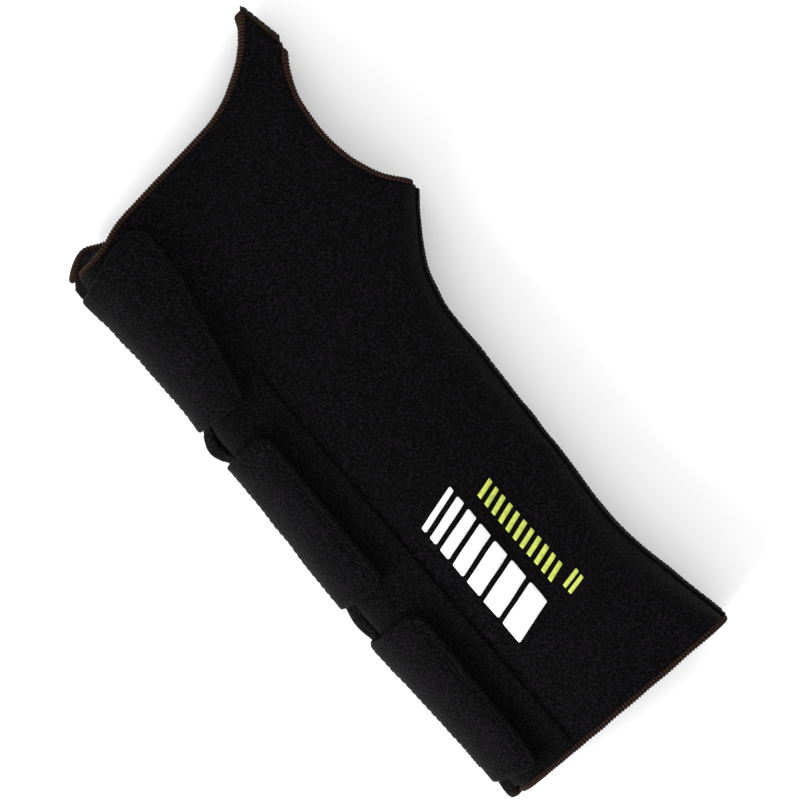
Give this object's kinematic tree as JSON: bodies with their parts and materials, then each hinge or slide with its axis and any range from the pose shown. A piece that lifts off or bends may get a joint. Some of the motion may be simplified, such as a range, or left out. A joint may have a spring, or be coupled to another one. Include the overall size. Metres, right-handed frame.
{
  "type": "wrist support brace",
  "caption": "Long neoprene wrist and forearm support with a thumb opening, hook-and-loop closure tabs on the ulnar side and a removable flat palm stay.",
  "frame": {"origin": "centre of the bounding box seen from above, at the height of the surface the brace lies on", "axes": "+Y towards the fingers, +X towards the thumb, +Z from the palm side up to the back of the hand"},
  "size_m": [0.0975, 0.2313, 0.0337],
  "materials": {
    "neoprene": "black jersey-faced neoprene foam, matt",
    "loop": "brushed loop pile, slightly lighter than the neoprene",
    "hook": "moulded hook tape",
    "binding": "dark warm brown overlocked edge",
    "webbing": "black woven tape",
    "aluminium": "brushed",
    "white_print": "heat-transfer film",
    "lime_print": "heat-transfer film"
  },
  "bodies": {
    "sleeve": {"dorsal_panel": "neoprene", "palmar_panel": "neoprene", "loop_landing_strip": "loop", "finger_binding_dorsal": "binding", "finger_binding_palmar": "binding", "thumb_binding_dorsal": "binding", "thumb_binding_palmar": "binding", "cuff_binding_dorsal": "binding", "cuff_binding_palmar": "binding", "radial_seam_tape": "webbing", "web_seam_tape": "webbing", "splint_pocket": "webbing", "print_white": "white_print", "print_lime": "lime_print"},
    "flap": {"ulnar_flap": "neoprene", "finger_binding_flap": "binding"},
    "distal_tab": {"tab_distal": "neoprene", "hook_patch_distal": "hook"},
    "middle_tab": {"tab_middle": "neoprene", "hook_patch_middle": "hook"},
    "proximal_tab": {"tab_proximal": "neoprene", "hook_patch_proximal": "hook"},
    "splint": {"aluminium_splint": "aluminium"}
  },
  "joints": [
    {"name": "flap_fold", "type": "hinge", "parent": "sleeve", "child": "flap", "pos_m": [-0.0419, 0, 0.00568], "axis": [0, -1, 0], "range_deg": [0, 45]},
    {"name": "distal_tab_peel", "type": "hinge", "parent": "flap", "child": "distal_tab", "pos_m": [-0.04928, 0, 0.01773], "axis": [0, -1, 0], "range_deg": [0, 110]},
    {"name": "middle_tab_peel", "type": "hinge", "parent": "flap", "child": "middle_tab", "pos_m": [-0.04928, 0, 0.01773], "axis": [0, -1, 0], "range_deg": [0, 110]},
    {"name": "proximal_tab_peel", "type": "hinge", "parent": "flap", "child": "proximal_tab", "pos_m": [-0.04928, 0, 0.01773], "axis": [0, -1, 0], "range_deg": [0, 110]},
    {"name": "splint_slide", "type": "slide", "parent": "sleeve", "child": "splint", "axis": [0, -1, 0], "range_m": [0, 0.15]}
  ]
}
